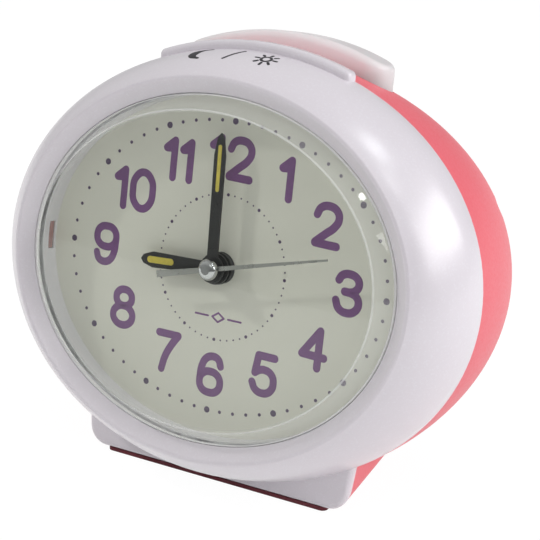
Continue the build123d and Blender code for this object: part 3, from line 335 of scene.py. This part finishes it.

# the two springs under the press bar, which close up towards the floor of its well: here they only get a mesh of their
# own
barSprings = {"node": "snooze_springs", "joint": "snooze_press", "foot": (0, 37.0, -23.0), "keep": 0.875}
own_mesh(cadNodes[barSprings["node"]])
print("talking clock: carried pieces,", len(cadNodes))

# lens: the solid's own section turned in fine steps, so that its bevel mirrors without facets
lens = {
    "section": [
        (0, 12.2), (42.9, 12.2), (46.75, 8.2), (46.75, 6.6), (48.55, 6.6),
        (48.55, 5.4), (46.45, 5.4), (42.3, 10.4), (0, 10.4),
    ],
    "oval": 4.63, "steps": 200, "edgeRound": 0.4, "edgeSteps": 4, "near": 0.001, "middle": 1, "smoothTo": 32,
}
lensShape = bmesh.new()
rim = [lensShape.verts.new((reach, 0, out)) for reach, out in lens["section"]]
sides = [lensShape.edges.new(pair) for pair in zip(rim, rim[1:])]
bmesh.ops.spin(
    lensShape, geom=rim + sides, axis=(0, 0, 1), cent=(0, 0, 0), dvec=(0, 0, 0),
    angle=math.tau, steps=lens["steps"], use_merge=True,
)
bmesh.ops.remove_doubles(lensShape, verts=lensShape.verts, dist=lens["near"])
for vert in lensShape.verts:  # from round to oval: each ring grows across and shrinks upwards by the same amount
    reach = math.hypot(vert.co.x, vert.co.y)
    if reach > lens["middle"]:
        vert.co.x *= 1 + lens["oval"] / reach
        vert.co.y *= 1 - lens["oval"] / reach
front = lens["section"][1][1]
frontEdge = [
    edge for edge in lensShape.edges
    if all(abs(vert.co.z - front) < lens["near"] and vert.co.xy.length > lens["middle"] for vert in edge.verts)
]
bmesh.ops.bevel(
    lensShape, geom=frontEdge, offset=lens["edgeRound"], segments=lens["edgeSteps"], profile=0.5,
    affect="EDGES", material=-1,
)
bmesh.ops.recalc_face_normals(lensShape, faces=lensShape.faces)
for face in lensShape.faces:
    face.smooth = True
lensMesh = placedMesh("lensCover", lensShape, dialFrame)
lensMesh.set_sharp_from_angle(angle=math.radians(lens["smoothTo"]))
lensCover = linkPiece("lensCover", lensMesh, "case", "clear_lens")
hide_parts("lens")
print("talking clock: lens")

# ink strokes: "line" has corners, "bow" is a smooth open curve, "ring" a smooth closed one
brush = {"round": 3, "knots": 8, "dabSides": 16, "dabRings": 8}


def brushStrokes(name, strokes, half, thick):
    # round-ended strokes: a bevelled curve pressed flat, with a round dab at every end and corner
    curve = bpy.data.curves.new(name, "CURVE")
    curve.dimensions = "3D"
    curve.bevel_depth = half
    curve.bevel_resolution = brush["round"]
    curve.resolution_u = brush["knots"]
    for kind, points in strokes:
        runs = [points] if kind != "line" else [points[i:i + 2] for i in range(len(points) - 1)]
        for run in runs:
            spline = curve.splines.new("BEZIER")
            spline.bezier_points.add(len(run) - 1)
            spline.use_cyclic_u = kind == "ring"
            for knot, (x, v) in zip(spline.bezier_points, run):
                knot.co = (x, v, 0)
                knot.handle_left_type = knot.handle_right_type = "VECTOR" if kind == "line" else "AUTO"
    pen = bpy.data.objects.new(name, curve)
    drawn = bpy.data.meshes.new_from_object(pen)
    shape = bmesh.new()
    shape.from_mesh(drawn)
    for kind, points in strokes:
        dabs = points if kind == "line" else [points[0], points[-1]] if kind == "bow" else []
        for x, v in dabs:
            bmesh.ops.create_uvsphere(
                shape, u_segments=brush["dabSides"], v_segments=brush["dabRings"], radius=half,
                matrix=Matrix.Translation((x, v, 0)),
            )
    bmesh.ops.scale(shape, vec=(1, 1, thick / half), verts=shape.verts)
    for face in shape.faces:
        face.smooth = True
    bpy.data.objects.remove(pen)
    bpy.data.curves.remove(curve)
    bpy.data.meshes.remove(drawn)
    return shape


def moved(points, at):
    return [(x + at[0], v + at[1]) for x, v in points]


def scaled(points, factor):
    return [(x * factor, v * factor) for x, v in points]


def drawPiece(name, strokes, sign, place, body, slot, finish=None):
    ink = brushStrokes(name, strokes, sign["half"], sign["thick"])
    return linkPiece(name, placedMesh(name, ink, place), body, slot, finish)


# dial print
numerals = {
    "half": 1.0, "thick": 0.05,
    "shapes": {
        "0": [
            ("ring", [(0, 4.6), (2.35, 3.1), (3, 0), (2.35, -3.1), (0, -4.6), (-2.35, -3.1), (-3, 0), (-2.35, 3.1)]),
        ],
        "1": [("line", [(-1.2, 2.6), (1.15, 4.55), (1.15, -4.6)]), ("line", [(-1.1, 2.55), (1.0, 2.7)])],
        "2": [
            ("bow", [
                (-2.9, 2.3), (-2.1, 3.9), (0.1, 4.6), (2.4, 3.6), (2.95, 1.8), (2.1, 0.0), (-0.3, -2.1), (-2.8, -4.25),
            ]),
            ("line", [(-2.8, -4.4), (2.95, -4.6)]),
        ],
        "3": [
            ("bow", [
                (-2.7, 2.9), (-1.9, 4.1), (0.1, 4.6), (2.1, 3.8), (2.65, 2.4), (1.9, 0.95), (0.5, 0.35), (-0.9, 0.35),
            ]),
            ("bow", [(0.5, 0.35), (2.2, -0.35), (3, -2), (2.2, -3.85), (0.1, -4.6), (-2.1, -3.8), (-3, -2)]),
        ],
        "4": [("line", [(1.4, -4.6), (1.4, 4.4), (-3, -1.7), (2.95, -1.9)])],
        "5": [
            ("line", [(2.75, 4.5), (-1.75, 4.55), (-2.4, 0.2)]),
            ("bow", [
                (-2.4, 0.15), (-1.3, 0.9), (0.3, 1.2), (2.3, 0.35), (3, -1.7), (2.2, -3.8), (0.1, -4.6), (-2, -3.9),
                (-2.95, -2.3),
            ]),
        ],
        "6": [
            ("bow", [(2.7, 2.5), (2, 4), (0.3, 4.6), (-1.6, 3.8), (-2.7, 1.6), (-3, -1.4)]),
            ("ring", [
                (-3, -1.95), (-2.2, -0.05), (0.05, 0.7), (2.25, -0.1),
                (3, -1.95), (2.2, -3.9), (0, -4.6), (-2.2, -3.9),
            ]),
        ],
        "7": [("line", [(-2.9, 4.5), (2.85, 4.5)]), ("bow", [(2.85, 4.4), (1.2, 2.1), (-0.5, -1.2), (-1.35, -4.6)])],
        "8": [
            ("ring", [
                (0, 4.6), (1.75, 3.95), (2.4, 2.5), (1.75, 1.0), (0, 0.4), (-1.75, 1.0), (-2.4, 2.5), (-1.75, 3.95),
            ]),
            ("ring", [
                (0, 0.4), (2.15, -0.35), (3, -2.1), (2.15, -3.85),
                (0, -4.6), (-2.15, -3.85), (-3, -2.1), (-2.15, -0.35),
            ]),
        ],
    },
    "places": [
        ("1", (-4.5, 26.9)), ("2", (2.42, 26.9)), ("1", (15.5, 24.05)), ("2", (27.75, 14.9)), ("3", (35.15, 0.0)),
        ("4", (27.8, -14.6)), ("5", (14.95, -23.8)), ("6", (0.0, -26.9)), ("7", (-13.3, -23.8)),
        ("8", (-27.9, -15.15)), ("9", (-35.0, 0.1)), ("1", (-32.0, 15.3)), ("0", (-25.2, 15.3)),
        ("1", (-17.84, 24.5)), ("1", (-12.98, 24.5)),
    ],
}
numerals["shapes"]["9"] = [(kind, scaled(points, -1)) for kind, points in numerals["shapes"]["6"]]
strokes = [
    (kind, moved(points, at)) for digit, at in numerals["places"] for kind, points in numerals["shapes"][digit]
]
drawPiece("hourNumerals", strokes, numerals, dialFrame, "case", "hand_black", "numeral_purple")

dots = {
    "minuteDots": {"across": 45.2, "up": 35.9, "small": 0.44, "large": 0.82},
    "innerDots": {"across": 18.0, "up": 18.0, "small": 0.22, "large": 0.42},
}
dotForm = {"thick": 0.05, "sides": 14, "taper": 0.94, "minutes": 60, "hourEvery": 5}
for name, track in dots.items():
    shape = bmesh.new()
    for minute in range(dotForm["minutes"]):
        angle = math.tau * minute / dotForm["minutes"]
        reach = 1 / math.hypot(math.sin(angle) / track["across"], math.cos(angle) / track["up"])
        radius = track["small"] if minute % dotForm["hourEvery"] else track["large"]
        spot = Matrix.Translation((reach * math.sin(angle), reach * math.cos(angle), dotForm["thick"] / 2))
        bmesh.ops.create_cone(
            shape, cap_ends=True, segments=dotForm["sides"], radius1=radius, radius2=radius * dotForm["taper"],
            depth=dotForm["thick"], matrix=spot,
        )
    linkPiece(name, placedMesh(name, shape, dialFrame), "case", "hand_black", "track_ink")

ornament = {"half": 0.25, "thick": 0.05, "at": (0.57, -12.4), "rule": (2.9, 6.6), "lozenge": (1.7, 1.15)}
near, far = ornament["rule"]
wide, tall = ornament["lozenge"]
lines = [
    [(-far, 0), (-near, 0)],
    [(near, 0), (far, 0)],
    [(-wide, 0), (0, tall), (wide, 0), (0, -tall), (-wide, 0)],
]
strokes = [("line", moved(line, ornament["at"])) for line in lines]
drawPiece("dialOrnament", strokes, ornament, dialFrame, "case", "hand_black", "numeral_purple")
print("talking clock: dial print")

# signs for the top bar, printed on the shoulder in front of the ridge: a moon of nested bows, a slash and a sun
rays = [(math.cos(turn), math.sin(turn)) for turn in (math.tau * step / 8 for step in range(8))]
topSigns = {
    "half": 0.36, "thick": 0.04, "lift": 0.03, "from": 70, "depth": 1.2, "grow": (1.35, 1.5),
    "moon": (-11.0, [
        ("bow", [(0.95, 2.2), (0.25 + 0.7 * deep, 1.6), (deep, 0), (0.25 + 0.7 * deep, -1.6), (0.95, -2.2)])
        for deep in (-1.9, -1.45, -1.0, -0.6)
    ]),
    "slash": (-1.6, [("bow", [(-0.9 + 0.45 * step, -2.0 + step) for step in range(5)])]),
    "sun": (7.4, [
        ("ring", scaled(rays, 0.9)), *(("line", scaled([ray], 1.5) + scaled([ray], 2.1)) for ray in rays),
    ]),
}
wider, deeper = topSigns["grow"]
strokes = [
    (kind, [(x * wider + shift, v * deeper) for x, v in points])
    for shift, marks in (topSigns["moon"], topSigns["slash"], topSigns["sun"]) for kind, points in marks
]
ink = brushStrokes("topSigns", strokes, topSigns["half"], topSigns["thick"])
shell = cadNodes["front_case"].data
shellTree = BVHTree.FromPolygons([vert.co for vert in shell.vertices], [face.vertices for face in shell.polygons])
downwards = -Vector(dialUp)
for vert in ink.verts:  # dropped on the shell from above, top edge towards the ridge
    x, up, out = vert.co
    start = dialFrame @ Vector((x, topSigns["from"], topSigns["depth"] - up))
    spot, normal, _, _ = shellTree.ray_cast(start, downwards)
    vert.co = spot + normal * (out + topSigns["lift"]) * stance["mm"]
linkPiece("topSigns", placedMesh("topSigns", ink, Matrix.Identity(4)), "case", "hand_black", "print_black")

# moulded signs on the back: a bell by the alarm knob, a clock face by the time knob, an arrow on the battery door
backSigns = {
    "half": 0.36, "thick": 0.34, "out": -50.0, "bell": (-24.4, 8.0), "face": (24.4, 8.0), "arrow": (0, -16.0),
}
backMarks = {
    "backMarks": ("case", [
        ("bow", "bell", [(-2.0, -1.2), (-1.35, -0.4), (-1.1, 1.0), (0, 2.1), (1.1, 1.0), (1.35, -0.4), (2.0, -1.2)]),
        ("line", "bell", [(-2.0, -1.2), (2.0, -1.2)]),
        ("line", "bell", [(-0.35, -2.0), (0.35, -2.0)]),
        ("ring", "face", scaled(rays, 2.1)),
        ("line", "face", [(0, 1.35), (0, 0), (-0.95, -0.5)]),
    ]),
    "doorMark": ("door", [
        ("line", "arrow", [(0, 1.8), (0, -1.8)]),
        ("line", "arrow", [(-1.1, -0.7), (0, -1.8), (1.1, -0.7)]),
    ]),
}
backFrame = dialFrame @ Matrix.Translation((0, 0, backSigns["out"]))
for name, (body, marks) in backMarks.items():
    strokes = [(kind, moved(points, backSigns[sign])) for kind, sign, points in marks]
    drawPiece(name, strokes, backSigns, backFrame, body, "coral_pink")
print("talking clock: signs")

# camera: solved from the photograph
camera = {
    "place": (0.18511, -0.29673, 0.17555), "lens": 98.03, "sensor": 36, "near": 0.01,
    "right": (0.85645, 0.51622, 0.0), "up": (-0.17346, 0.28779, 0.94185), "back": (0.48620, -0.80665, 0.33602),
}
cameraData = bpy.data.cameras.new("photoCamera")
cameraData.lens = camera["lens"]
cameraData.sensor_width = camera["sensor"]
cameraData.clip_start = camera["near"]
photoCamera = bpy.data.objects.new("photoCamera", cameraData)
scene.collection.objects.link(photoCamera)
cameraTurn = Matrix((camera["right"], camera["up"], camera["back"])).transposed().to_4x4()
photoCamera.matrix_world = Matrix.Translation(camera["place"]) @ cameraTurn
scene.camera = photoCamera

# lamps: all aim at the middle of the clock; one without gloss lights and shades, but isn't mirrored
lampAim = (0, 0, 0.055)
lamps = {
    "keyRight": {"at": (0.84, 0.12, 0.50), "size": (1.0, 0.40), "power": 5.3, "colour": (1.0, 0.99, 1.0)},
    "smallTop": {"at": (0.36, 0.06, 0.92), "size": (0.26, 0.12), "power": 0.83, "colour": (0.94, 0.98, 1.0)},
    "lensGlint": {"at": (0.58, -0.23, 0.91), "size": (0.10, 0.06), "power": 0.35, "colour": (1.0, 1.0, 1.0)},
    "frontTop": {"at": (0.20, -0.75, 0.75), "size": (0.5, 0.3), "power": 0.43, "colour": (1.0, 1.0, 0.99)},
    "upperLeft": {
        "at": (-0.68, -0.30, 0.70), "size": (0.05, 0.05), "power": 2.2, "colour": (1.0, 0.99, 0.97), "gloss": False,
    },
}
for name, lamp in lamps.items():
    data = bpy.data.lights.new(name, "AREA")
    data.shape = "RECTANGLE"
    data.size, data.size_y = lamp["size"]
    data.energy = lamp["power"]
    data.color = lamp["colour"]
    holder = bpy.data.objects.new(name, data)
    scene.collection.objects.link(holder)
    holder.visible_glossy = lamp.get("gloss", True)
    aim = Vector(lampAim) - Vector(lamp["at"])
    holder.matrix_world = Matrix.Translation(lamp["at"]) @ aim.to_track_quat("-Z", "Y").to_matrix().to_4x4()

# the room's own light, by the side it comes from (direction and strength), in front of white paper
room = {
    "white": (1, 1, 1, 1), "paper": 1.0,
    "right": ((1, 0, 0.2), 0.1), "left": ((-1, 0, 0.2), 0.34), "front": ((0, -1, 0.2), 0.1),
    "back": ((0, 1, 0.2), 0.16), "top": ((0, 0, 1), 0.345),
}
world = bpy.data.worlds.new("whiteRoom")
world.use_nodes = True
scene.world = world
sky = world.node_tree
skyward = addNode(sky, "ShaderNodeTexCoord").outputs["Generated"]
levels = []
for side in ("right", "left", "front", "back", "top"):
    towards, strength = room[side]
    level = addNode(sky, "ShaderNodeMapRange", Value=along(sky, skyward, towards), To_Max=strength)
    levels.append(level.outputs["Result"])
roomLight = addNode(sky, "ShaderNodeBackground", Color=room["white"], Strength=added(sky, levels))
paper = feed(sky, sky.nodes["Background"], Color=room["white"], Strength=room["paper"])
skyPath = addNode(sky, "ShaderNodeLightPath").outputs
backdrop = worked(sky, "MAXIMUM", skyPath["Is Camera Ray"], skyPath["Is Transmission Ray"])
whole = mixed(sky, backdrop, roomLight.outputs["Background"], paper.outputs["Background"])
sky.links.new(whole, sky.nodes["World Output"].inputs["Surface"])

# table: glows white by these shares to the rays named, so that it fades into the paper and keeps a faint shadow
tableTop = {
    "half": 6.0, "grid": 4, "matt": (0.9, 0.9, 0.9, 1), "white": 1.04,
    "shares": {"Is Camera Ray": 0.93, "Is Glossy Ray": 0.7, "Is Transmission Ray": 0.93},
}
tableShape = bmesh.new()
bmesh.ops.create_grid(
    tableShape, x_segments=tableTop["grid"], y_segments=tableTop["grid"], size=tableTop["half"]
)
table = bpy.data.objects.new("whiteTable", placedMesh("whiteTable", tableShape, Matrix.Identity(4)))
scene.collection.objects.link(table)
cover = bpy.data.materials.new("tableWhite")
cover.use_nodes = True
tableTree = cover.node_tree
tableTree.nodes.remove(tableTree.nodes["Principled BSDF"])
matt = addNode(tableTree, "ShaderNodeBsdfDiffuse", Color=tableTop["matt"])
glow = addNode(tableTree, "ShaderNodeEmission", Color=room["white"], Strength=tableTop["white"])
tablePath = addNode(tableTree, "ShaderNodeLightPath").outputs
shares = [worked(tableTree, "MULTIPLY", tablePath[ray], share) for ray, share in tableTop["shares"].items()]
whole = mixed(tableTree, added(tableTree, shares), matt.outputs["BSDF"], glow.outputs["Emission"])
tableTree.links.new(whole, tableTree.nodes["Material Output"].inputs["Surface"])
table.data.materials.append(cover)

scene.view_settings.view_transform = "Standard"
print("talking clock: camera, lamps and table")
